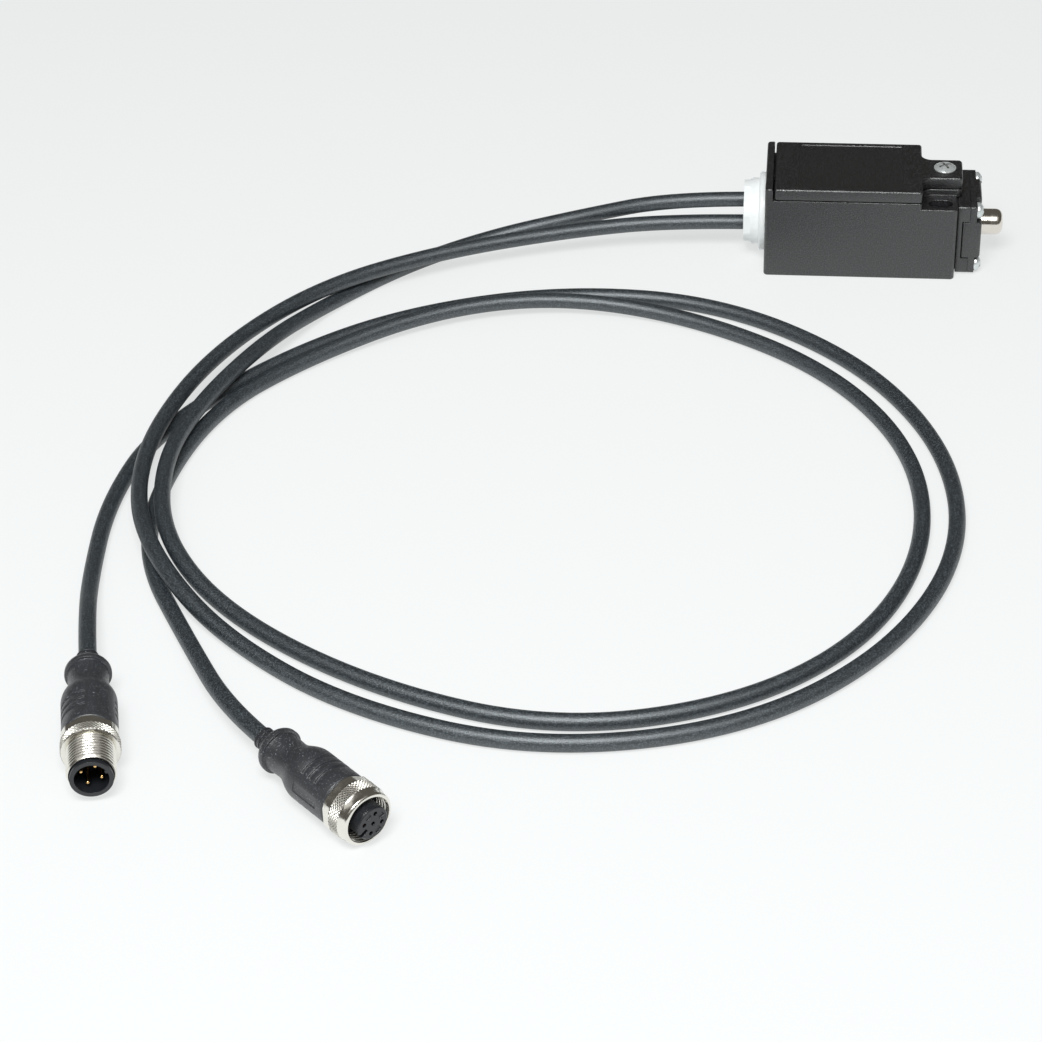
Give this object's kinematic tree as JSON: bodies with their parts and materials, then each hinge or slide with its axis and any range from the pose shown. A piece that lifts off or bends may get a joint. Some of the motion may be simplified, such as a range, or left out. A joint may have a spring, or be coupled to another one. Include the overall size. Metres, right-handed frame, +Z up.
{
  "type": "door contact switch",
  "caption": "Plunger switch for a guard door, in a moulded housing with mounting slots, with leads that end in a male and a female round screw plug.",
  "frame": {"origin": "middle of the housing's mounting face (its underside)", "axes": "+X along the plunger, out of the head; +Y across the housing; +Z up, from the mounting face to the cover"},
  "size_m": [0.2427, 0.2952, 0.0305],
  "materials": {
    "housing": "fine matte grain",
    "head": "fine matte grain",
    "gasket": "matte",
    "seal": "matte",
    "screw_steel": "zinc plated, satin",
    "plunger_steel": "polished",
    "spring_steel": "bright drawn",
    "contact_plastic": "satin",
    "carriage_plastic": "satin",
    "contact_metal": "bright",
    "gland": "satin",
    "grip": "fine matte grain",
    "insert": "satin",
    "nickel": "nickel plated, bright",
    "pin_metal": "gold plated",
    "jacket": "fine matte grain"
  },
  "bodies": {
    "housing": {"housing_base": "housing", "cover": "housing", "cover_gasket": "gasket", "cover_screw": "screw_steel", "head_gasket": "gasket", "head_base": "head", "head_plate": "head", "head_screws": "screw_steel", "plunger_wiper": "gasket", "return_spring": "spring_steel", "contact_block": "contact_plastic", "terminal_1": "contact_metal", "terminal_2": "contact_metal", "terminal_3": "contact_metal", "terminal_4": "contact_metal", "terminal_screws": "screw_steel", "gland_body": "gland", "gland_cap": "gland", "gland_seal": "seal", "gland_locknut": "gland", "male_grip": "grip", "male_insert": "insert", "male_pins": "pin_metal", "female_grip": "grip", "female_insert": "insert", "female_contacts": "pin_metal", "lead_male": "jacket", "lead_female": "jacket"},
    "plunger": {"plunger": "plunger_steel", "contact_carriage": "carriage_plastic", "contact_bridge_1": "contact_metal", "contact_bridge_2": "contact_metal"},
    "male_nut": {"male_nut": "nickel"},
    "female_nut": {"female_nut": "nickel"}
  },
  "joints": [
    {"name": "plunger_slide", "type": "slide", "parent": "housing", "child": "plunger", "axis": [-1, 0, 0], "range_m": [0, 0.005], "stiffness_N_per_m": 2000, "springref_m": -0.002, "deforming": ["return_spring"]},
    {"name": "male_nut_turn", "type": "hinge", "parent": "housing", "child": "male_nut", "pos_m": [-0.18068, -0.25193, 0.00725], "axis": [0.2284, -0.9736, 0], "continuous": true},
    {"name": "female_nut_turn", "type": "hinge", "parent": "housing", "child": "female_nut", "pos_m": [-0.11446, -0.27209, 0.00725], "axis": [0.7206, -0.6934, 0], "continuous": true}
  ]
}
